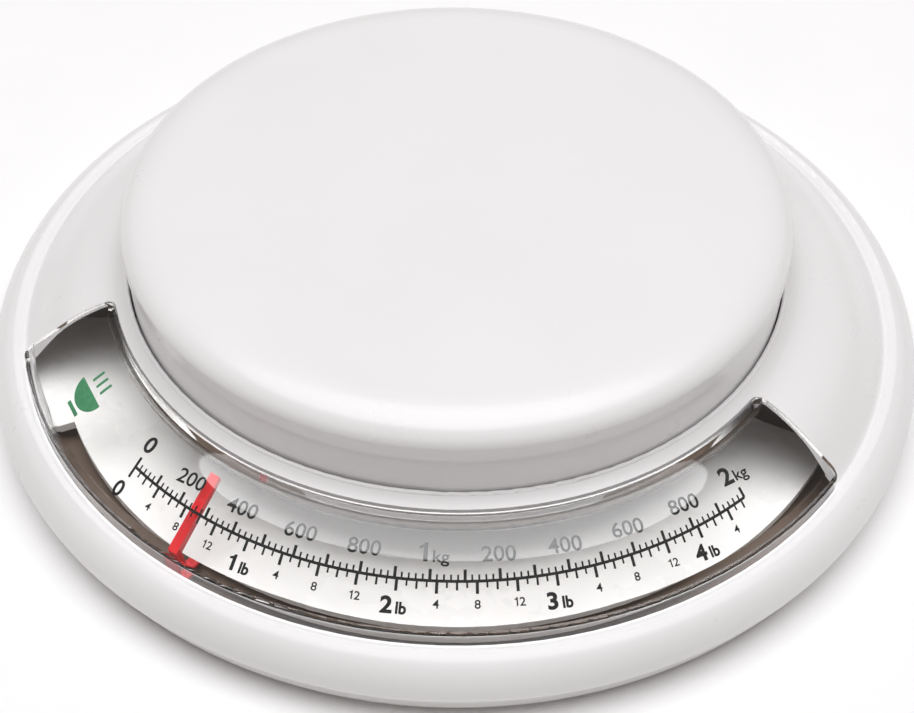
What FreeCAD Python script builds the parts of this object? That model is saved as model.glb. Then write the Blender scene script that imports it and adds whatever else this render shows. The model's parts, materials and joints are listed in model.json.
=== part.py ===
import FreeCAD, Part
import math
import os

# Mechanical kitchen scale, millimetres. Origin: centre of the base on the table, +Z up.
# The window with the weight marks faces -Y. A load pushes the platform down, two parallel
# levers keep it level, and the upper lever drives a rack that turns the pointer's spindle.

# --- housing ---
BASE_BOTTOM = 0.8
FLOOR_TOP = 3.0
SEAM_Z = 5.6
BASE_R = 107.4
BASE_WALL = 2.2
SHELL_THICK = 2.2
WELL_R = 76.0
WELL_WALL_R = 78.0
WELL_BOTTOM_Z = 21.0
RIM_R = 110.0
LIP_TOP = 31.3
DECK_TOP = [(77.2, 30.9), (79.6, 29.5), (83.5, 28.3), (87.5, 26.7), (92.0, 24.2), (96.0, 20.9), (99.4, 17.3),
            (101.6, 15.3)]

# --- window, dial and pointer ---
WINDOW_LEFT = -72.6
WINDOW_RIGHT = 57.0
WINDOW_R_IN = 79.6
WINDOW_R_OUT = 101.7
WINDOW_TOP = [(80.4, 29.2), (83.5, 28.3), (87.5, 26.7), (92.0, 24.2), (96.0, 21.7), (100.9, 18.8)]
WINDOW_SHEET = 1.5
WINDOW_FOOT = 12.0
WINDOW_CORNER = 2.5
DIAL_TOP = 8.0
DIAL_R_IN = 66.0
DIAL_R_OUT = 94.0
SCALE_SWEEP = 86.55
POINTER_REST = -32.85
POINTER_Z = 4.4
POINTER_THICK = 1.0
TIP_INNER = (83.6, 25.2)
TIP_OUTER = (98.6, 14.4)

# --- platform ---
PLATE_R = 76.0
PLATE_TOP = 48.5
PLATE_FLAT_R = 66.0
PLATE_EDGE_Z = 43.5
PLATE_LIP_Z = 39.7
PLATE_THICK = 2.2
SKIRT_R = 75.6
SKIRT_BOTTOM = 26.0

# --- mechanism ---
TRAVEL = 6.0
REST_DROP = 0.714
LEVER_LENGTH = 40.0
LEVER_PIVOT_Y = 34.0
UPPER_Z = 30.5
LOWER_Z = 19.0
DRIVE_ARM = 15.1
LEVER_X = 20.0
SHEET = 1.5
FRAME_Z = 11.7
PIN_R = 1.2
RUNNING = 0.05
SPRING_X = 47.0
SPRING_Y = 12.0
SPRING_R = 6.5
WIRE_R = 0.6
SPRING_TURNS = 7
SPRING_BOTTOM = 15.2
CARRIER_Z = 38.5
CARRIER_THICK = 2.0
PINION_TEETH = 8
SPINDLE_R = 0.75
SCREW_R = 1.25
FRAME_POSTS = [(-60.0, -2.0), (60.0, -2.0), (-36.0, 48.0), (36.0, 48.0)]
HOUSING_POSTS = [(97.0, angle) for angle in (-16.0, 52.0, 128.0, 172.0)]
PLATE_POSTS = [(-30.0, -10.0), (30.0, -10.0), (-30.0, 20.0), (30.0, 20.0)]

LEVER_TILT = (TRAVEL / 2 - REST_DROP) / LEVER_LENGTH
PITCH_R = DRIVE_ARM * TRAVEL / LEVER_LENGTH / math.radians(SCALE_SWEEP)
RACK_Z = UPPER_Z - DRIVE_ARM
PIN_Y = LEVER_PIVOT_Y - LEVER_LENGTH * math.cos(LEVER_TILT)
PIN_LIFT = LEVER_LENGTH * math.sin(LEVER_TILT)


def vec(x, y, z):
    return FreeCAD.Vector(x, y, z)


def disc(radius, z0, z1, x=0.0, y=0.0):
    return Part.makeCylinder(radius, z1 - z0, vec(x, y, z0))


def ring(r_in, r_out, z0, z1, x=0.0, y=0.0):
    return disc(r_out, z0, z1, x, y).cut(disc(r_in, z0 - 1, z1 + 1, x, y))


def slab(x0, x1, y0, y1, z0, z1):
    return Part.makeBox(x1 - x0, y1 - y0, z1 - z0, vec(x0, y0, z0))


def rod_x(radius, x0, x1, y, z):
    return Part.makeCylinder(radius, x1 - x0, vec(x0, y, z), vec(1, 0, 0))


def join(shapes):
    return shapes[0].multiFuse(shapes[1:]).removeSplitter()


def minus(shape, tools):
    for tool in tools:
        shape = shape.cut(tool)
    return shape


def on_circle(radius, degrees):
    return radius * math.cos(math.radians(degrees)), radius * math.sin(math.radians(degrees))


def lathe(edges):
    face = Part.Face(Part.Wire(edges))
    return face.revolve(vec(0, 0, 0), vec(0, 0, 1), 360)


def line(a, b):
    return Part.makeLine(vec(a[0], 0, a[1]), vec(b[0], 0, b[1]))


def bow(a, middle, b):
    return Part.Arc(vec(a[0], 0, a[1]), vec(middle[0], 0, middle[1]), vec(b[0], 0, b[1])).toShape()


def quarter_ellipse(centre, wide, high):
    """The rounded corner from a disc's side up to its flat top."""
    side = vec(centre[0] + wide, 0, centre[1])
    crown = vec(centre[0], 0, centre[1] + high)
    ellipse = Part.Ellipse(side, crown, vec(centre[0], 0, centre[1]))
    return Part.ArcOfEllipse(ellipse, 0, math.pi / 2).toShape()


def lines(points):
    return [line(a, b) for a, b in zip(points, points[1:])]


def smooth(points):
    curve = Part.BSplineCurve()
    curve.interpolate([vec(r, 0, z) for r, z in points])
    return curve


def offset_below(curve, radii, distance):
    """Points that lie a wall's thickness inside a curve, at the given radii."""
    points = []
    for radius in radii:
        parameter = curve.parameter(vec(radius, 0, 20.0))
        for _ in range(8):
            place = curve.value(parameter)
            slope = curve.getD1(parameter)[1]
            parameter += (radius - place.x) / slope.x
        place = curve.value(parameter)
        slope = curve.getD1(parameter)[1]
        slope.normalize()
        points.append((place.x + slope.z * distance, place.z - slope.x * distance))
    return points


def window_block(grow, z0, z1):
    """The window's outline, moved outwards by grow, as a block with rounded corners."""
    corners = []
    for degrees in (WINDOW_LEFT, WINDOW_RIGHT):
        for radius in (WINDOW_R_IN - grow, WINDOW_R_OUT + grow):
            side = math.copysign(math.degrees(grow / radius), degrees)
            x, y = on_circle(radius, degrees + side - 90.0)
            corners.append(vec(x, y, z0))
    inner_left, outer_left, inner_right, outer_right = corners
    inner_mid = vec(0, -(WINDOW_R_IN - grow), z0)
    outer_mid = vec(0, -(WINDOW_R_OUT + grow), z0)
    wire = Part.Wire([Part.Arc(outer_left, outer_mid, outer_right).toShape(),
                      Part.makeLine(outer_right, inner_right),
                      Part.Arc(inner_right, inner_mid, inner_left).toShape(),
                      Part.makeLine(inner_left, outer_left)])
    block = Part.Face(wire).extrude(vec(0, 0, z1 - z0))
    upright = [edge for edge in block.Edges
               if len(edge.Vertexes) == 2 and abs(edge.Vertexes[0].X - edge.Vertexes[1].X) < 1e-6
               and abs(edge.Vertexes[0].Y - edge.Vertexes[1].Y) < 1e-6]
    return block.makeFillet(WINDOW_CORNER + grow, upright)


def sector(r_in, r_out, start, end, z0, z1):
    """Part of a flat ring, between two angles."""
    ends = []
    for radius in (r_in, r_out):
        for degrees in (start, (start + end) / 2, end):
            x, y = on_circle(radius, degrees)
            ends.append(vec(x, y, z0))
    wire = Part.Wire([Part.Arc(ends[0], ends[1], ends[2]).toShape(), Part.makeLine(ends[2], ends[5]),
                      Part.Arc(ends[5], ends[4], ends[3]).toShape(), Part.makeLine(ends[3], ends[0])])
    return Part.Face(wire).extrude(vec(0, 0, z1 - z0))


def screw(x, y, head_z, length, up):
    """A pan-head screw. up is +1 if its head is on top, -1 if its head is below."""
    head = Part.makeCylinder(2.8, 2.0, vec(x, y, head_z), vec(0, 0, up))
    shank = Part.makeCylinder(SCREW_R, length, vec(x, y, head_z), vec(0, 0, -up))
    cross = [slab(x - 1.6, x + 1.6, y - 0.3, y + 0.3, head_z + up * 1.5 - 0.7, head_z + up * 1.5 + 0.7),
             slab(x - 0.3, x + 0.3, y - 1.6, y + 1.6, head_z + up * 1.5 - 0.7, head_z + up * 1.5 + 0.7)]
    return minus(join([head, shank]), cross)


def save(name, shape):
    if shape.ShapeType == "Compound" and len(shape.Solids) == 1:
        shape = shape.Solids[0]
    if not shape.isValid() or not shape.Solids:
        raise ValueError("bad shape: " + name)
    shape.exportStep("parts/" + name + ".step")


def make_housing():
    deck = smooth(DECK_TOP)
    lip_start = (WELL_R, LIP_TOP - 0.6)
    lip_end = DECK_TOP[0]
    foot = DECK_TOP[-1]
    outer = [bow(lip_start, (76.35, LIP_TOP - 0.05), lip_end), deck.toShape(), line(foot, (102.3, 15.2)),
             bow((102.3, 15.2), (103.15, 15.9), (104.4, 16.1)),
             bow((104.4, 16.1), (108.6, 13.2), (RIM_R, 8.8)),
             bow((RIM_R, 8.8), (109.3, 6.9), (BASE_R, SEAM_Z))]
    outer += lines([(BASE_R, SEAM_Z), (WELL_R, SEAM_Z), lip_start])
    envelope = lathe(outer)
    under = [(WELL_WALL_R, 27.3)] + offset_below(deck, [83.0, 87.0, 92.0, 96.0, 99.4, 101.4], SHELL_THICK)
    inside = [smooth(under).toShape()]
    inside += lines([under[-1], (103.0, 12.6), (104.8, 13.7), (106.9, 12.0), (107.8, 9.0), (106.9, 7.2),
                     (BASE_R - BASE_WALL, SEAM_Z), (BASE_R - BASE_WALL, 4.0), (70.0, 4.0),
                     (70.0, WELL_BOTTOM_Z), (WELL_WALL_R, WELL_BOTTOM_Z), under[0]])
    shell = envelope.cut(lathe(inside))
    posts = []
    for radius, degrees in HOUSING_POSTS:
        x, y = on_circle(radius, degrees)
        posts.append(disc(4.0, 5.0, 26.0, x, y).common(lathe(outer_fill())))
    shell = join([shell] + posts)
    shell = shell.cut(window_block(0.1, 4.0, 34.0))
    for radius, degrees in HOUSING_POSTS:
        x, y = on_circle(radius, degrees)
        shell = shell.cut(disc(SCREW_R, 4.0, 11.0, x, y))
    save("housing_shell", shell)


def outer_fill():
    """A plain wedge below the deck, which bounds the screw posts."""
    return lines([(90.0, 4.0), (90.0, 24.0), (92.0, 23.0), (96.0, 19.7), (99.4, 16.1), (101.6, 13.8),
                  (102.6, 13.0), (102.6, 4.0), (90.0, 4.0)])


def make_base():
    wall = lathe(lines([(0, BASE_BOTTOM), (BASE_R - 1.2, BASE_BOTTOM), (BASE_R - 0.35, BASE_BOTTOM + 0.45),
                        (BASE_R, BASE_BOTTOM + 1.3), (BASE_R, SEAM_Z - 0.3), (BASE_R - 0.3, SEAM_Z),
                        (BASE_R - BASE_WALL, SEAM_Z), (BASE_R - BASE_WALL, 8.0),
                        (BASE_R - BASE_WALL - 1.6, 8.0), (BASE_R - BASE_WALL - 1.6, FLOOR_TOP),
                        (0, FLOOR_TOP), (0, BASE_BOTTOM)]))
    solids = [wall, disc(4.0, FLOOR_TOP - 0.5, 4.0)]
    cuts = [disc(SPINDLE_R + RUNNING, 2.2, 5.0), disc(9.6, 0, 4.0, SPRING_X, SPRING_Y)]
    for x, y in FRAME_POSTS:
        solids.append(disc(4.0, FLOOR_TOP - 0.5, FRAME_Z, x, y))
        cuts.append(disc(SCREW_R, 4.0, FRAME_Z + 1, x, y))
    for radius, degrees in HOUSING_POSTS:
        x, y = on_circle(radius, degrees)
        solids.append(disc(4.6, FLOOR_TOP - 0.5, 5.0, x, y))
        cuts.append(disc(3.2, 0, FLOOR_TOP, x, y))
        cuts.append(disc(SCREW_R, 0, 6.0, x, y))
    for x in (-60.0, 60.0):
        for y in (-62.0, 62.0):
            cuts.append(disc(7.0, 0, 1.6, x, y))
    save("base_shell", minus(join(solids), cuts))
    feet = [disc(7.0, 0, 1.6, x, y) for x in (-60.0, 60.0) for y in (-62.0, 62.0)]
    save("rubber_feet", Part.makeCompound(feet))
    screws = []
    for radius, degrees in HOUSING_POSTS:
        x, y = on_circle(radius, degrees)
        screws.append(screw(x, y, FLOOR_TOP, 7.5, -1))
    save("housing_screws", Part.makeCompound(screws))


def make_window():
    """A clear cover whose top carries on the deck's curve, with a short wall all round below it."""
    top = smooth(WINDOW_TOP)
    sheet = offset_below(top, [82.0, 85.0, 88.0, 92.0, 96.0, 99.6], WINDOW_SHEET)
    first, last = WINDOW_TOP[0], WINDOW_TOP[-1]
    inner, outer = WINDOW_R_IN - 1.0, WINDOW_R_OUT
    skin = lathe([line((WINDOW_R_IN, WINDOW_FOOT), (WINDOW_R_IN, 28.5)),
                  bow((WINDOW_R_IN, 28.5), (79.85, 29.0), first), top.toShape(),
                  bow(last, (101.45, 18.65), (outer, 18.0)),
                  line((outer, 18.0), (outer, WINDOW_FOOT)),
                  line((outer, WINDOW_FOOT), (WINDOW_R_IN, WINDOW_FOOT))])
    cover = window_block(0.0, WINDOW_FOOT - 1, 32.0).common(skin)
    room = lathe([smooth(sheet).toShape()]
                 + lines([sheet[-1], (outer - WINDOW_SHEET, 17.0), (outer - WINDOW_SHEET, WINDOW_FOOT - 2),
                          (inner, WINDOW_FOOT - 2), (inner, 27.6), sheet[0]]))
    hollow = window_block(-WINDOW_SHEET, WINDOW_FOOT - 3, 32.0).common(room)
    below = lathe(lines([(70.0, WINDOW_FOOT - 3), (70.0, 24.4), (81.0, 24.4), (101.0, WINDOW_FOOT),
                         (110.0, WINDOW_FOOT), (110.0, WINDOW_FOOT - 3), (70.0, WINDOW_FOOT - 3)]))
    save("window_cover", cover.cut(hollow).cut(below))
    plate = join([sector(DIAL_R_IN, DIAL_R_OUT, -174, -24, DIAL_TOP - 1.2, DIAL_TOP),
                  sector(DIAL_R_OUT - 1.4, DIAL_R_OUT, -174, -24, 5.9, DIAL_TOP),
                  sector(DIAL_R_OUT - 1.4, 101.2, -174, -153, 5.9, DIAL_TOP)])
    legs = []
    for radius, degrees in ((72.0, -168), (90.0, -168), (72.0, -148), (90.0, -148), (72.0, -32), (90.0, -32)):
        x, y = on_circle(radius, degrees)
        legs.append(disc(3.0, FLOOR_TOP, DIAL_TOP - 1.0, x, y))
    save("dial_plate", join([plate] + legs))


def make_pointer():
    """The spindle, its small gear and the pointer, made along -Y and turned to the rest angle. The arm
    runs below the dial plate, climbs past its outer edge and carries a red bar back over it."""
    top = POINTER_Z + POINTER_THICK
    hub = join([ring(SPINDLE_R, 5.0, 4.2, POINTER_Z), ring(SPINDLE_R, 2.8, 4.2, 7.4)])
    reach = TIP_OUTER[0]
    corners = [(-2.5, 0.0), (2.5, 0.0), (1.2, -reach), (-1.2, -reach)]
    outline = Part.makePolygon([vec(x, y, POINTER_Z) for x, y in corners + corners[:1]])
    arm = Part.Face(outline).extrude(vec(0, 0, POINTER_THICK))
    tail = slab(-3.0, 3.0, 0.0, 12.0, POINTER_Z, top)
    eye = disc(5.0, POINTER_Z, top)
    riser = slab(-1.2, 1.2, -reach, -reach + 1.4, POINTER_Z, TIP_OUTER[1] - 1.3)
    arm = join([arm, tail, eye, riser]).cut(disc(2.8, 3, 12))
    blade = [TIP_OUTER, TIP_INNER, (TIP_INNER[0] - 0.4, TIP_INNER[1] - 1.2),
             (TIP_OUTER[0] - 1.4, TIP_OUTER[1] - 1.2), (TIP_OUTER[0] - 1.4, TIP_OUTER[1] - 1.3),
             (TIP_OUTER[0], TIP_OUTER[1] - 1.3)]
    outline = Part.makePolygon([vec(-1.15, -r, z) for r, z in blade + blade[:1]])
    tip = Part.Face(outline).extrude(vec(2.3, 0, 0))
    for name, shape in (("pointer_hub", hub), ("pointer_arm", arm), ("pointer_tip", tip)):
        shape.rotate(vec(0, 0, 0), vec(0, 0, 1), POINTER_REST)
        save(name, shape)
    save("pointer_shaft", disc(SPINDLE_R, 2.3, 18.0))
    root_r = PITCH_R - 0.44
    tip_r = PITCH_R + 0.28
    teeth = [disc(root_r, 14.2, 16.6)]
    for index in range(PINION_TEETH):
        outline = [(root_r - 0.2, -0.31), (tip_r, -0.12), (tip_r, 0.12), (root_r - 0.2, 0.31)]
        polygon = Part.makePolygon([vec(x, y, 14.2) for x, y in outline + outline[:1]])
        tooth = Part.Face(polygon).extrude(vec(0, 0, 2.4))
        tooth.rotate(vec(0, 0, 0), vec(0, 0, 1), (index + 0.5) * 360.0 / PINION_TEETH)
        teeth.append(tooth)
    save("pinion", join(teeth).cut(disc(SPINDLE_R, 13, 18)))


def make_rack():
    pitch = 2 * math.pi * PITCH_R / PINION_TEETH
    back = PITCH_R + 0.42
    low = RACK_Z - 1.0
    high = RACK_Z + 1.0
    drive_y = LEVER_PIVOT_Y - DRIVE_ARM * math.sin(LEVER_TILT)
    solids = [slab(back, 7.6, -5.6, drive_y - 2.0, low, high)]
    solids.append(slab(back, 7.6, drive_y - 2.6, drive_y - 1.0 - RUNNING, low, high + 1.6))
    solids.append(slab(back, 7.6, drive_y + 1.0 + RUNNING, drive_y + 2.6, low, high + 1.6))
    for index in range(-4, 3):
        centre = index * pitch
        outline = [(back + 0.2, centre - 0.33), (PITCH_R - 0.26, centre - 0.13),
                   (PITCH_R - 0.26, centre + 0.13), (back + 0.2, centre + 0.33)]
        polygon = Part.makePolygon([vec(x, y, low) for x, y in outline + outline[:1]])
        solids.append(Part.Face(polygon).extrude(vec(0, 0, 2.0)))
    fork_gap = slab(back, 8.6, drive_y - 1.0 - RUNNING, drive_y + 1.0 + RUNNING, low - 1, high + 3)
    fork_side = slab(back - 1.0, back, drive_y - 2.6, drive_y + 2.6, low, high + 1.6)
    rack = join([join(solids).cut(fork_gap), fork_side])
    save("rack_bar", rack)
    guides = []
    for y in (8.0, 20.0):
        block = slab(0.4, 9.6, y, y + 5.0, FRAME_Z + SHEET, high + 1.6)
        slot = slab(back - 0.1, 7.7, y - 1, y + 6, low - 0.1, high + 0.1)
        guides.append(block.cut(slot))
    save("rack_guides", Part.makeCompound(guides))


def lever(z, web_low, web_y0, web_y1):
    """A forked sheet lever, level, with its pivot holes at the rear and its load holes in front."""
    parts = []
    for side in (-1, 1):
        x0 = min(side * LEVER_X, side * (LEVER_X + SHEET))
        parts.append(slab(x0, x0 + SHEET, LEVER_PIVOT_Y - LEVER_LENGTH - 4, LEVER_PIVOT_Y + 4, z - 2.5, z + 2.5))
    parts.append(slab(-LEVER_X, LEVER_X, web_y0, web_y1, web_low, web_low + 1.2))
    shape = join(parts)
    shape = shape.cut(rod_x(PIN_R + RUNNING, -30, 30, LEVER_PIVOT_Y, z))
    return shape.cut(rod_x(PIN_R + 0.15, -30, 30, LEVER_PIVOT_Y - LEVER_LENGTH, z))


def tilt(shape, z):
    shape.rotate(vec(0, LEVER_PIVOT_Y, z), vec(1, 0, 0), -math.degrees(LEVER_TILT))
    return shape


def make_levers():
    drive = slab(9.0, 10.5, LEVER_PIVOT_Y - 3, LEVER_PIVOT_Y + 3, RACK_Z - 1.8, UPPER_Z + 2.0)
    upper = join([lever(UPPER_Z, UPPER_Z + 1.3, 22.0, 38.0), drive])
    upper = upper.cut(rod_x(1.0, 2, 12, LEVER_PIVOT_Y, RACK_Z))
    save("upper_lever", tilt(upper, UPPER_Z))
    save("drive_pin", tilt(rod_x(1.0, 3.6, 10.9, LEVER_PIVOT_Y, RACK_Z), UPPER_Z))
    save("lower_lever", tilt(lever(LOWER_Z, LOWER_Z + 1.3, 12.0, 27.0), LOWER_Z))


def make_frame():
    top = FRAME_Z + SHEET
    solids = [slab(-28, 28, 2, 54, FRAME_Z, top), slab(-12, 12, -8, 3, FRAME_Z, top),
              slab(-42, 42, 42, 54, FRAME_Z, top)]
    for side in (-1, 1):
        x0 = min(side * 27, side * 66)
        solids.append(slab(x0, x0 + 39, -8, 23, FRAME_Z, top))
        x0 = min(side * 23, side * (23 + SHEET))
        cheek = slab(x0, x0 + SHEET, 27, 41, FRAME_Z, UPPER_Z + 4)
        for z in (UPPER_Z, LOWER_Z):
            cheek = cheek.cut(rod_x(PIN_R, -30, 30, LEVER_PIVOT_Y, z))
        solids.append(cheek)
    cuts = [disc(3.5, 10, 15), disc(2.3, 10, 15, SPRING_X, SPRING_Y)]
    cuts += [disc(1.7, 10, 15, SPRING_X, SPRING_Y + side * 6.3) for side in (-1, 1)]
    cuts += [disc(SCREW_R, 10, 15, x, y) for x, y in FRAME_POSTS]
    save("mechanism_frame", minus(join(solids), cuts))
    save("frame_screws", Part.makeCompound([screw(x, y, top, 8.5, 1) for x, y in FRAME_POSTS]))
    pins = []
    for z in (UPPER_Z, LOWER_Z):
        for side in (-1, 1):
            x0 = min(side * 19.4, side * 25.6)
            pins.append(rod_x(PIN_R, x0, x0 + 6.2, LEVER_PIVOT_Y, z))
    save("frame_pins", Part.makeCompound(pins))
    bush = join([ring(SPINDLE_R + RUNNING, 3.5, 11.2, top), ring(SPINDLE_R + RUNNING, 5.0, top, top + 0.7)])
    save("spindle_bush", bush)


def spring_seat(x, low):
    """A cup with a central stub that keeps a spring's end in place."""
    return join([disc(8.5, low, SPRING_BOTTOM, x, SPRING_Y), disc(5.0, low, 18.0, x, SPRING_Y),
                 ring(7.4, 8.5, low, 16.4, x, SPRING_Y)])


def make_springs():
    springs = []
    height = CARRIER_Z - SPRING_BOTTOM - 2 * WIRE_R
    for x in (-SPRING_X, SPRING_X):
        path = Part.makeHelix(height / SPRING_TURNS, height, SPRING_R)
        wire = Part.Wire([Part.makeCircle(WIRE_R, vec(SPRING_R, 0, 0), vec(0, 1, 0))])
        coil = Part.Wire(path.Edges).makePipeShell([wire], True, True)
        coil.translate(vec(x, SPRING_Y, SPRING_BOTTOM + WIRE_R))
        springs.append(coil)
    save("main_springs", Part.makeCompound(springs))
    save("spring_cup", spring_seat(-SPRING_X, FRAME_Z + SHEET))
    nut = spring_seat(SPRING_X, FRAME_Z + SHEET + 0.5)
    pegs = [disc(1.4, 10.9, SPRING_BOTTOM, SPRING_X, SPRING_Y + side * 6.3) for side in (-1, 1)]
    nut = join([nut] + pegs).cut(disc(2.0 + RUNNING, 10, 20, SPRING_X, SPRING_Y))
    save("zero_nut", nut)
    save("zero_screw", disc(2.0, 3.3, 19.5, SPRING_X, SPRING_Y))
    wheel = join([disc(9.2, 1.0, 3.4, SPRING_X, SPRING_Y), disc(11.0, 3.3, 4.9, SPRING_X, SPRING_Y),
                  disc(3.5, 4.8, 11.4, SPRING_X, SPRING_Y)])
    cuts = [disc(2.0, 3.3, 12, SPRING_X, SPRING_Y),
            slab(SPRING_X - 7, SPRING_X + 7, SPRING_Y - 1, SPRING_Y + 1, 0, 2.2)]
    for index in range(18):
        x, y = on_circle(9.7, index * 20.0)
        cuts.append(disc(0.9, 0, 3.2, SPRING_X + x, SPRING_Y + y))
    save("zero_wheel", minus(wheel, cuts))


def make_platform():
    plate = lathe([line((0, PLATE_TOP), (PLATE_FLAT_R, PLATE_TOP)),
                   quarter_ellipse((PLATE_FLAT_R, PLATE_EDGE_Z), PLATE_R - PLATE_FLAT_R,
                                   PLATE_TOP - PLATE_EDGE_Z)]
                  + lines([(PLATE_R, PLATE_EDGE_Z), (PLATE_R, PLATE_LIP_Z + 0.4), (PLATE_R - 0.4, PLATE_LIP_Z),
                           (PLATE_R - PLATE_THICK, PLATE_LIP_Z), (PLATE_R - PLATE_THICK, 42.8),
                           (71.6, 45.0), (PLATE_FLAT_R, PLATE_TOP - PLATE_THICK),
                           (0, PLATE_TOP - PLATE_THICK), (0, PLATE_TOP)]))
    posts = [disc(5.0, CARRIER_Z + CARRIER_THICK, PLATE_TOP - 1, x, y) for x, y in PLATE_POSTS]
    holes = [disc(SCREW_R, CARRIER_Z, PLATE_TOP - 2.8, x, y) for x, y in PLATE_POSTS]
    save("weighing_plate", minus(join([plate] + posts), holes))
    inner = PLATE_R - PLATE_THICK
    skirt = lathe(lines([(SKIRT_R - 2.0, SKIRT_BOTTOM), (SKIRT_R, SKIRT_BOTTOM), (SKIRT_R, PLATE_LIP_Z),
                         (inner, PLATE_LIP_Z), (inner, 42.4), (inner - 1.8, 42.4), (inner - 1.8, 38.2),
                         (SKIRT_R - 2.0, 37.0), (SKIRT_R - 2.0, SKIRT_BOTTOM)]))
    save("platform_skirt", skirt)
    solids = [slab(-56, 56, -16, 24, CARRIER_Z, CARRIER_Z + CARRIER_THICK)]
    for side in (-1, 1):
        x0 = min(side * 16.5, side * 18.0)
        cheek = slab(x0, x0 + SHEET, -12, 0, 17.0, CARRIER_Z + 0.5)
        for z in (UPPER_Z, LOWER_Z):
            cheek = cheek.cut(rod_x(PIN_R, -30, 30, PIN_Y, z + PIN_LIFT))
        solids.append(cheek)
        solids.append(disc(5.0, CARRIER_Z - 2.0, CARRIER_Z + 0.5, side * SPRING_X, SPRING_Y))
    holes = [disc(SCREW_R, CARRIER_Z - 1, CARRIER_Z + 3, x, y) for x, y in PLATE_POSTS]
    save("platform_carrier", minus(join(solids), holes))
    save("carrier_screws", Part.makeCompound([screw(x, y, CARRIER_Z, 6.5, -1) for x, y in PLATE_POSTS]))
    pins = [rod_x(PIN_R, -22.6, 22.6, PIN_Y, z + PIN_LIFT) for z in (UPPER_Z, LOWER_Z)]
    save("carrier_pins", Part.makeCompound(pins))


os.makedirs("parts", exist_ok=True)
make_base()
make_housing()
make_window()
make_pointer()
make_rack()
make_levers()
make_frame()
make_springs()
make_platform()
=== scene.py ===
import json
import math

import bmesh
import bpy
from mathutils import Matrix, Vector
from mathutils.bvhtree import BVHTree


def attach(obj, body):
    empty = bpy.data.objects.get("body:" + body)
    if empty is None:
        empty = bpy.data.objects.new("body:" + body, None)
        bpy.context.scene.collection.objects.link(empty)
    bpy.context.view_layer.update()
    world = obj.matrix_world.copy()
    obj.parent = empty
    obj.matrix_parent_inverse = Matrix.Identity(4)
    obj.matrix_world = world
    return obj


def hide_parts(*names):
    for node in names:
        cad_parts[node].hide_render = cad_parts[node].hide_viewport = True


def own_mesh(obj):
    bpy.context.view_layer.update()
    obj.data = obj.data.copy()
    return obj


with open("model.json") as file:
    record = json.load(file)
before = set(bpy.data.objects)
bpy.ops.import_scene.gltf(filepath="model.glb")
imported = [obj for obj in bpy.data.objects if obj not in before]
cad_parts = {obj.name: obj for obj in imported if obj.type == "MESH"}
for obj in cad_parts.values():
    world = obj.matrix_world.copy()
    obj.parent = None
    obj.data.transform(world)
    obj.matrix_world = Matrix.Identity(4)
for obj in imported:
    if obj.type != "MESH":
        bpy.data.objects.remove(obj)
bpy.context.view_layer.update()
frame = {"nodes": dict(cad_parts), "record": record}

MM = 0.001

# Printed scale, millimetres and degrees. The marks stand where the pointer reads them, at angles
# round the centre axis, and lean towards a point behind it.
MARK_AIM_Y = 20.0
ARC_R = 91.8
SCALE_START = -43.15
SCALE_SWEEP = 86.55
PRINT_GAP = 0.02
PRINT_THICK = 0.03
SURFACE_SLOPE = 0.88
FULL_LOAD = 2000.0
GRAMS_PER_OUNCE = 28.3495
BADGE_ANGLE = -58.0
BADGE_R = 90.0
BADGE_STEPS = 24
TICK_WIDTHS = {"long": 0.62, "middle": 0.45, "short": 0.38}
ARC_WIDTH = 0.5
ARC_PIECES = 160
EDGE_LENGTH = 1.2

# Springs, millimetres, as in the CAD model
SPRING_X = 47.0
SPRING_Y = 12.0
SPRING_R = 6.5
WIRE_R = 0.6
SPRING_TURNS = 7
TURN_STEPS = 40
WIRE_SIDES = 12
SPRING_LOW = 15.8
SPRING_HIGH = 37.9

# Where faces count as inside the housing and get the painted shade, millimetres
INNER_FLOOR_Z = 2.9
INNER_FLOOR_R = 101.0
WELL_OUTSIDE_R = 77.9
WELL_BACK_R = 78.1
WELL_BACK_Z = 27.0
DOME_INSIDE_R = 101.8


# ---------------------------------------------------------------- materials
def new_material(name):
    material = bpy.data.materials.new(name)
    material.use_nodes = True
    tree = material.node_tree
    tree.nodes.clear()
    output = tree.nodes.new("ShaderNodeOutputMaterial")
    shader = tree.nodes.new("ShaderNodeBsdfPrincipled")
    tree.links.new(shader.outputs["BSDF"], output.inputs["Surface"])
    return material, tree, shader, output


def noise(tree, scale, detail=3.0, rough=0.5, stretch=(1, 1, 1)):
    coords = tree.nodes.new("ShaderNodeTexCoord")
    mapping = tree.nodes.new("ShaderNodeMapping")
    mapping.inputs["Scale"].default_value = stretch
    texture = tree.nodes.new("ShaderNodeTexNoise")
    texture.inputs["Scale"].default_value = scale
    texture.inputs["Detail"].default_value = detail
    texture.inputs["Roughness"].default_value = rough
    tree.links.new(coords.outputs["Object"], mapping.inputs["Vector"])
    tree.links.new(mapping.outputs["Vector"], texture.inputs["Vector"])
    return texture.outputs["Fac"]


def blend_colours(tree, factor, low, high, start=0.3, end=0.7):
    ramp = tree.nodes.new("ShaderNodeValToRGB")
    ramp.color_ramp.elements[0].position = start
    ramp.color_ramp.elements[1].position = end
    ramp.color_ramp.elements[0].color = (*low, 1)
    ramp.color_ramp.elements[1].color = (*high, 1)
    tree.links.new(factor, ramp.inputs["Fac"])
    return ramp.outputs["Color"]


def span(tree, factor, low, high):
    node = tree.nodes.new("ShaderNodeMapRange")
    node.inputs["From Min"].default_value = 0.3
    node.inputs["From Max"].default_value = 0.7
    node.inputs["To Min"].default_value = low
    node.inputs["To Max"].default_value = high
    tree.links.new(factor, node.inputs["Value"])
    return node.outputs["Result"]


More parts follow.
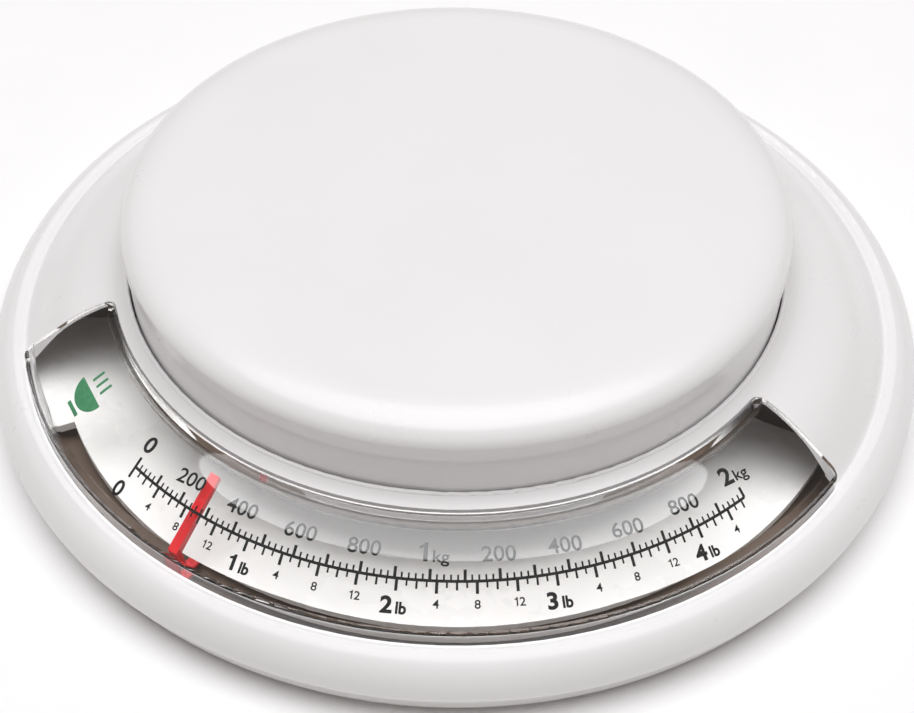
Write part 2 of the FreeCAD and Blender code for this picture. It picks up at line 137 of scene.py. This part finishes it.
def bump(tree, shader, height, strength, distance):
    node = tree.nodes.new("ShaderNodeBump")
    node.inputs["Strength"].default_value = strength
    node.inputs["Distance"].default_value = distance
    tree.links.new(height, node.inputs["Height"])
    tree.links.new(node.outputs["Normal"], shader.inputs["Normal"])


def moulded(name, low, high, gloss=(0.16, 0.26), coat=0.0, grain=900.0, relief=0.00002):
    """Moulded plastic: faint tone drift from the melt's flow, uneven gloss and a fine skin."""
    material, tree, shader, _ = new_material(name)
    drift = noise(tree, 18.0, 4.0)
    tree.links.new(blend_colours(tree, drift, low, high), shader.inputs["Base Color"])
    tree.links.new(span(tree, noise(tree, 60.0, 5.0, 0.6), *gloss), shader.inputs["Roughness"])
    bump(tree, shader, noise(tree, grain, 2.0), 0.25, relief)
    shader.inputs["IOR"].default_value = 1.52
    shader.inputs["Coat Weight"].default_value = coat
    shader.inputs["Coat Roughness"].default_value = 0.08
    return material


def metal(name, low, high, gloss, stretch=(1, 30, 1)):
    """Rolled or turned metal with fine marks along one direction."""
    material, tree, shader, _ = new_material(name)
    marks = noise(tree, 120.0, 6.0, 0.7, stretch)
    tree.links.new(blend_colours(tree, marks, low, high), shader.inputs["Base Color"])
    tree.links.new(span(tree, marks, *gloss), shader.inputs["Roughness"])
    bump(tree, shader, marks, 0.2, 0.00003)
    shader.inputs["Metallic"].default_value = 1.0
    return material


def ink(name, low, high):
    """Screen-printed ink: slightly uneven cover and a soft sheen."""
    material, tree, shader, _ = new_material(name)
    cover = noise(tree, 700.0, 3.0)
    tree.links.new(blend_colours(tree, cover, low, high), shader.inputs["Base Color"])
    tree.links.new(span(tree, cover, 0.45, 0.6), shader.inputs["Roughness"])
    shader.inputs["Specular IOR Level"].default_value = 0.12
    return material


def clear_plastic(name):
    """Clear acrylic. Lamps shine straight through it on to what lies behind."""
    material, tree, shader, output = new_material(name)
    haze = noise(tree, 40.0, 4.0, 0.6)
    tree.links.new(span(tree, haze, 0.0, 0.03), shader.inputs["Roughness"])
    tree.links.new(blend_colours(tree, haze, (0.97, 0.975, 0.975), (0.99, 0.99, 0.99)),
                   shader.inputs["Base Color"])
    shader.inputs["Transmission Weight"].default_value = 1.0
    shader.inputs["IOR"].default_value = 1.49
    through = tree.nodes.new("ShaderNodeBsdfTransparent")
    path = tree.nodes.new("ShaderNodeLightPath")
    mix = tree.nodes.new("ShaderNodeMixShader")
    tree.links.new(path.outputs["Is Shadow Ray"], mix.inputs["Fac"])
    tree.links.new(shader.outputs["BSDF"], mix.inputs[1])
    tree.links.new(through.outputs["BSDF"], mix.inputs[2])
    tree.links.new(mix.outputs["Shader"], output.inputs["Surface"])
    return material


WHITE = moulded("white_gloss_plastic", (0.84, 0.83, 0.835), (0.865, 0.855, 0.86), (0.26, 0.36), coat=0.08)
DIAL = moulded("dial_plate_plastic", (0.80, 0.78, 0.76), (0.84, 0.82, 0.80), (0.22, 0.34))
RED = moulded("pointer_red_plastic", (0.62, 0.012, 0.018), (0.70, 0.02, 0.025), (0.25, 0.4))
ACETAL = moulded("acetal_plastic", (0.80, 0.79, 0.74), (0.86, 0.85, 0.80), (0.35, 0.5))
GREY = moulded("grey_plastic", (0.10, 0.105, 0.11), (0.15, 0.155, 0.16), (0.4, 0.55), relief=0.00006)
RUBBER = moulded("foot_rubber", (0.42, 0.42, 0.41), (0.52, 0.52, 0.50), (0.6, 0.8), grain=1500.0,
                 relief=0.0001)
STEEL = metal("sheet_steel", (0.50, 0.51, 0.53), (0.66, 0.67, 0.69), (0.25, 0.45))
SPRING = metal("spring_steel", (0.30, 0.30, 0.32), (0.46, 0.46, 0.48), (0.2, 0.35), (1, 1, 20))
BRASS = metal("turned_brass", (0.62, 0.43, 0.16), (0.80, 0.60, 0.28), (0.2, 0.35), (1, 1, 20))
CLEAR = clear_plastic("window_clear_plastic")
# Painted shade: a dark brown for the inside faces, standing in for the shade under the deck and inside
# the base.
PAINTED_SHADE = moulded("painted_shade_inside_plastic", (0.085, 0.052, 0.034), (0.115, 0.075, 0.050), (0.5, 0.65))
INK_BLACK = ink("ink_black", (0.003, 0.003, 0.003), (0.010, 0.010, 0.011))
INK_GREEN = ink("ink_green", (0.03, 0.16, 0.07), (0.05, 0.21, 0.10))

BY_SLOT = {"white_gloss": WHITE, "window_clear": CLEAR, "dial_white": DIAL, "pointer_red": RED,
           "steel": STEEL, "spring_steel": SPRING, "brass": BRASS,
           "acetal": ACETAL, "grey_plastic": GREY, "rubber": RUBBER}
for part in frame["record"]["subparts"]:
    node = frame["nodes"][part["node"]]
    node.data.materials.clear()
    node.data.materials.append(BY_SLOT[part["material_slot"]])


def shade_inside(name, in_painted_shade):
    """Painted shade: the faces that only show through the window get a dark brown colour in place of the
    shade that falls inside the housing.
    """
    node = frame["nodes"][name]
    node.data.materials.append(PAINTED_SHADE)
    for face in node.data.polygons:
        centre = node.matrix_world @ face.center
        if in_painted_shade(math.hypot(centre.x, centre.y) / MM, centre.z / MM, face.normal):
            face.material_index = 1


bpy.context.view_layer.update()
# Painted shade on the inside of the base, on the underside of the dome and on the back of the well.
shade_inside("base_shell", lambda r, z, normal: z > INNER_FLOOR_Z and r < INNER_FLOOR_R)
shade_inside("housing_shell", lambda r, z, normal: WELL_OUTSIDE_R < r < DOME_INSIDE_R and normal.z < -0.05
             or WELL_OUTSIDE_R < r < WELL_BACK_R and z < WELL_BACK_Z)
cover = frame["nodes"]["window_cover"]
COVER_TREE = BVHTree.FromPolygons([cover.matrix_world @ v.co for v in cover.data.vertices],
                                  [tuple(face.vertices) for face in cover.data.polygons])


# ---------------------------------------------------------------- building helpers
def piece(name, bm, material, body, smooth_angle=35.0):
    mesh = bpy.data.meshes.new(name)
    bmesh.ops.recalc_face_normals(bm, faces=bm.faces)
    bm.to_mesh(mesh)
    bm.free()
    mesh.materials.append(material)
    thing = bpy.data.objects.new(name, mesh)
    bpy.context.collection.objects.link(thing)
    mesh.shade_smooth()
    mesh.set_sharp_from_angle(angle=math.radians(smooth_angle))
    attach(thing, body)
    return thing


def on_scale(degrees, radius, beyond=0.0):
    """A point at an angle round the centre axis, moved outwards along the mark's own lean."""
    angle = math.radians(degrees)
    spot = Vector((radius * math.sin(angle), -radius * math.cos(angle), 0.0))
    return spot + (spot - Vector((0, MARK_AIM_Y, 0))).normalized() * beyond


# ---------------------------------------------------------------- springs
def add_coil(bm, x, y):
    """One open coil spring as a swept round wire, millimetres."""
    steps = SPRING_TURNS * TURN_STEPS
    rise = (SPRING_HIGH - SPRING_LOW) / (2 * math.pi * SPRING_TURNS)
    loops = []
    for i in range(steps + 1):
        angle = 2 * math.pi * SPRING_TURNS * i / steps
        outward = Vector((math.cos(angle), math.sin(angle), 0))
        along = Vector((-SPRING_R * outward.y, SPRING_R * outward.x, rise)).normalized()
        upright = along.cross(outward)
        centre = Vector((x, y, SPRING_LOW + rise * angle)) + outward * SPRING_R
        loop = []
        for k in range(WIRE_SIDES):
            turn = 2 * math.pi * k / WIRE_SIDES
            reach = (outward * math.cos(turn) + upright * math.sin(turn)) * WIRE_R
            loop.append(bm.verts.new((centre + reach) * MM))
        loops.append(loop)
    for a, b in zip(loops, loops[1:]):
        for k in range(WIRE_SIDES):
            j = (k + 1) % WIRE_SIDES
            bm.faces.new((a[k], a[j], b[j], b[k]))
    bm.faces.new(loops[0][::-1])
    bm.faces.new(loops[-1])


coils = bmesh.new()
for side in (-1, 1):
    add_coil(coils, side * SPRING_X, SPRING_Y)
coil_springs = piece("coil_springs", coils, SPRING, "housing")
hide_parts("main_springs")
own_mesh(coil_springs)


# ---------------------------------------------------------------- printed scale
def drape(bm):
    """Lays flat print, drawn from z 0 to 1, on the underside of the curved window."""
    for _ in range(3):
        bmesh.ops.triangulate(bm, faces=bm.faces)
        long_edges = [edge for edge in bm.edges if edge.calc_length() > EDGE_LENGTH * MM + abs(
            edge.verts[0].co.z - edge.verts[1].co.z)]
        if long_edges:
            bmesh.ops.subdivide_edges(bm, edges=long_edges, cuts=1)
    bmesh.ops.triangulate(bm, faces=bm.faces)
    for vertex in bm.verts:
        x, y, level = vertex.co
        place = COVER_TREE.ray_cast(Vector((x, y, 0.0)), Vector((0, 0, 1)))[0]
        vertex.co.z = place.z - (PRINT_GAP + PRINT_THICK * (1.0 - level)) * MM


def add_plate(bm, outline):
    low = [bm.verts.new((p.x * MM, p.y * MM, 0.0)) for p in outline]
    high = [bm.verts.new((p.x * MM, p.y * MM, 1.0)) for p in outline]
    bm.faces.new(low[::-1])
    bm.faces.new(high)
    count = len(outline)
    for i in range(count):
        j = (i + 1) % count
        bm.faces.new((low[i], low[j], high[j], high[i]))


def flat_bar(bm, start, end, width):
    """A printed line between two points, millimetres."""
    along = (end - start).normalized()
    side = Vector((-along.y, along.x, 0)) * (width / 2)
    add_plate(bm, [start - side, end - side, end + side, start + side])


def angle_of(grams):
    return SCALE_START + SCALE_SWEEP * grams / FULL_LOAD


marks = bmesh.new()
for edge in range(ARC_PIECES):
    a = on_scale(angle_of(FULL_LOAD * edge / ARC_PIECES), ARC_R)
    b = on_scale(angle_of(FULL_LOAD * (edge + 1) / ARC_PIECES), ARC_R)
    flat_bar(marks, a, b + (b - a) * 0.02, ARC_WIDTH)
for step in range(101):
    grams = step * 20
    whole = step % 5 == 0
    degrees = angle_of(grams)
    flat_bar(marks, on_scale(degrees, ARC_R), on_scale(degrees, ARC_R, -1.95 if whole else -1.1),
             TICK_WIDTHS["long"] if whole else TICK_WIDTHS["short"])
for ounce in range(71):
    degrees = angle_of(ounce * GRAMS_PER_OUNCE)
    if ounce % 4 == 0:
        length, width = 2.1, TICK_WIDTHS["long"]
    elif ounce % 2 == 0:
        length, width = 1.5, TICK_WIDTHS["middle"]
    else:
        length, width = 1.1, TICK_WIDTHS["short"]
    flat_bar(marks, on_scale(degrees, ARC_R), on_scale(degrees, ARC_R, length), width)
drape(marks)
piece("scale_marks", marks, INK_BLACK, "housing")


def figure_one(bm, foot_x, high, stroke):
    """The figure 1, with its flag, standing on the line y 0."""
    outline = [(-stroke, 0), (0, 0), (0, high), (-0.7 * stroke, high), (-stroke, 0.88 * high),
               (-stroke - 0.22 * high, 0.80 * high), (-stroke - 0.22 * high, 0.69 * high),
               (-stroke, 0.69 * high)]
    add_plate(bm, [Vector((x + foot_x, y, 0)) for x, y in outline])


def numerals(name, text, size, degrees, beyond, bold=0.0, shift=0.0, wide=1.0):
    """Printed figures, upright for a reader in front, centred on a mark's line."""
    letters = bmesh.new()
    if text != "1":
        curve = bpy.data.curves.new(name, "FONT")
        curve.body = text.replace("1", "")
        curve.size = size * MM
        curve.align_x = "CENTER"
        curve.align_y = "BOTTOM_BASELINE"
        curve.offset = bold * MM
        curve.extrude = 0.5
        curve.resolution_u = 5
        shape = bpy.data.objects.new(name + "_curve", curve)
        bpy.context.collection.objects.link(shape)
        bpy.context.view_layer.update()
        flat = bpy.data.meshes.new_from_object(shape)
        bpy.data.objects.remove(shape)
        letters.from_mesh(flat)
        bpy.data.meshes.remove(flat)
        for vertex in letters.verts:
            vertex.co.z += 0.5
            vertex.co.x = vertex.co.x * wide + (0.3 * size * MM if "1" in text else 0.0)
    if "1" in text:
        foot_x = 0.16 * size if text == "1" else -0.1 * size
        figure_one(letters, foot_x, 0.73 * size, 0.10 * size + 2 * bold)
    spot = on_scale(degrees, ARC_R, beyond)
    upward = (Vector((0, MARK_AIM_Y, 0)) - spot).normalized()
    right = Vector((upward.y, -upward.x, 0))
    spot = spot + right * shift
    slope_up = upward * SURFACE_SLOPE
    for vertex in letters.verts:
        x, y, level = vertex.co
        vertex.co = (right.x * x + slope_up.x * y + spot.x * MM,
                     right.y * x + slope_up.y * y + spot.y * MM, level)
    bmesh.ops.remove_doubles(letters, verts=letters.verts, dist=0.000002)
    drape(letters)
    return piece(name, letters, INK_BLACK, "housing")


for index in range(11):
    grams = index * 200
    degrees = angle_of(grams)
    if grams % 1000:
        numerals("kg_%02d" % index, str(grams % 1000), 4.35, degrees, -3.25, 0.05, 0.0, 1.06)
    elif grams == 0:
        numerals("kg_%02d" % index, "0", 5.0, degrees, -3.2, 0.12, 0.0, 1.1)
    else:
        numerals("kg_%02d" % index, str(grams // 1000), 5.2, degrees, -3.2, 0.16, -1.5, 1.1)
        numerals("kg_%02d_unit" % index, "kg", 3.3, degrees, -3.2, 0.05, 1.9, 1.15)
for index in range(18):
    ounces = index * 4
    degrees = angle_of(ounces * GRAMS_PER_OUNCE)
    if ounces == 0:
        numerals("lb_00", "0", 4.7, degrees, 6.1, 0.11, -0.6, 1.1)
    elif ounces % 16:
        numerals("lb_%02d" % index, str(ounces % 16), 2.3, degrees, 4.5, 0.03, 0.0, 1.12)
    else:
        numerals("lb_%02d" % index, str(ounces // 16), 4.4, degrees, 5.8, 0.15, -1.55, 1.12)
        numerals("lb_%02d_unit" % index, "lb", 3.1, degrees, 5.8, 0.11, 1.35, 1.0)

# a plain green bowl with steam at the window's left end
badge_up = Vector((-math.sin(math.radians(BADGE_ANGLE)), math.cos(math.radians(BADGE_ANGLE)), 0))
badge_centre = badge_up * -BADGE_R
badge_side = Vector((badge_up.y, -badge_up.x, 0))
badge = bmesh.new()
for offset in (-2.2, 0.0, 2.2):
    flat_bar(badge, badge_centre + badge_side * offset + badge_up * 1.4,
             badge_centre + badge_side * offset + badge_up * 4.2, 0.7)
flat_bar(badge, badge_centre + badge_side * -2.4 + badge_up * -4.6,
         badge_centre + badge_side * 2.4 + badge_up * -4.6, 0.8)
drape(badge)
piece("badge_steam", badge, INK_GREEN, "housing")
bowl = bmesh.new()
outline = []
for i in range(BADGE_STEPS + 1):
    t = math.pi * (1 + i / BADGE_STEPS)
    outline.append(badge_centre + badge_side * (5.0 * math.cos(t)) + badge_up * (3.9 * math.sin(t) + 0.2))
add_plate(bowl, outline)
drape(bowl)
piece("badge_bowl", bowl, INK_GREEN, "housing")


# ---------------------------------------------------------------- stage, light, camera
def floor_piece():
    bm = bmesh.new()
    bmesh.ops.create_grid(bm, x_segments=1, y_segments=1, size=6.0)
    mesh = bpy.data.meshes.new("floor")
    bm.to_mesh(mesh)
    bm.free()
    material, tree, shader, _ = new_material("floor_paper")
    fibre = noise(tree, 30.0, 3.0)
    tree.links.new(blend_colours(tree, fibre, (0.965, 0.965, 0.965), (0.98, 0.98, 0.98)),
                   shader.inputs["Base Color"])
    shader.inputs["Roughness"].default_value = 0.9
    shader.inputs["Specular IOR Level"].default_value = 0.1
    mesh.materials.append(material)
    thing = bpy.data.objects.new("floor", mesh)
    bpy.context.collection.objects.link(thing)


def lamp(name, place, target, size, watts, colour):
    data = bpy.data.lights.new(name, "AREA")
    data.shape = "ELLIPSE"
    data.size, data.size_y = size
    data.energy = watts
    data.color = colour
    thing = bpy.data.objects.new(name, data)
    bpy.context.collection.objects.link(thing)
    thing.location = place
    thing.rotation_euler = (Vector(target) - Vector(place)).to_track_quat("-Z", "Y").to_euler()


floor_piece()
lamp("key_overhead", (0.02, -0.02, 1.3), (0.02, -0.02, 0), (1.9, 1.05), 17.8, (0.975, 0.985, 1.0))
world = bpy.data.worlds.new("studio")
world.use_nodes = True
world.node_tree.nodes["Background"].inputs["Color"].default_value = (1.0, 0.91, 0.86, 1)
world.node_tree.nodes["Background"].inputs["Strength"].default_value = 0.24
bpy.context.scene.world = world
bpy.context.scene.view_settings.view_transform = "Standard"

CAMERA_PLACE = (0.01349, -0.26883, 0.26622)
CAMERA_HEADING = -2.771
CAMERA_PITCH = 45.543
CAMERA_ROLL = 0.814
CAMERA_LENS = 59.97

heading, pitch, roll = (math.radians(v) for v in (CAMERA_HEADING, CAMERA_PITCH, CAMERA_ROLL))
forward = Vector((math.sin(heading) * math.cos(pitch), math.cos(heading) * math.cos(pitch),
                  -math.sin(pitch)))
right = Vector((math.cos(heading), -math.sin(heading), 0))
above = right.cross(forward)
right, above = (right * math.cos(roll) + above * math.sin(roll),
                above * math.cos(roll) - right * math.sin(roll))
camera_data = bpy.data.cameras.new("camera")
camera_data.sensor_width = 36.0
camera_data.lens = CAMERA_LENS
camera_data.clip_start = 0.01
camera = bpy.data.objects.new("camera", camera_data)
bpy.context.collection.objects.link(camera)
camera.matrix_world = Matrix(((right.x, above.x, -forward.x, CAMERA_PLACE[0]),
                              (right.y, above.y, -forward.y, CAMERA_PLACE[1]),
                              (right.z, above.z, -forward.z, CAMERA_PLACE[2]), (0, 0, 0, 1)))
bpy.context.scene.camera = camera
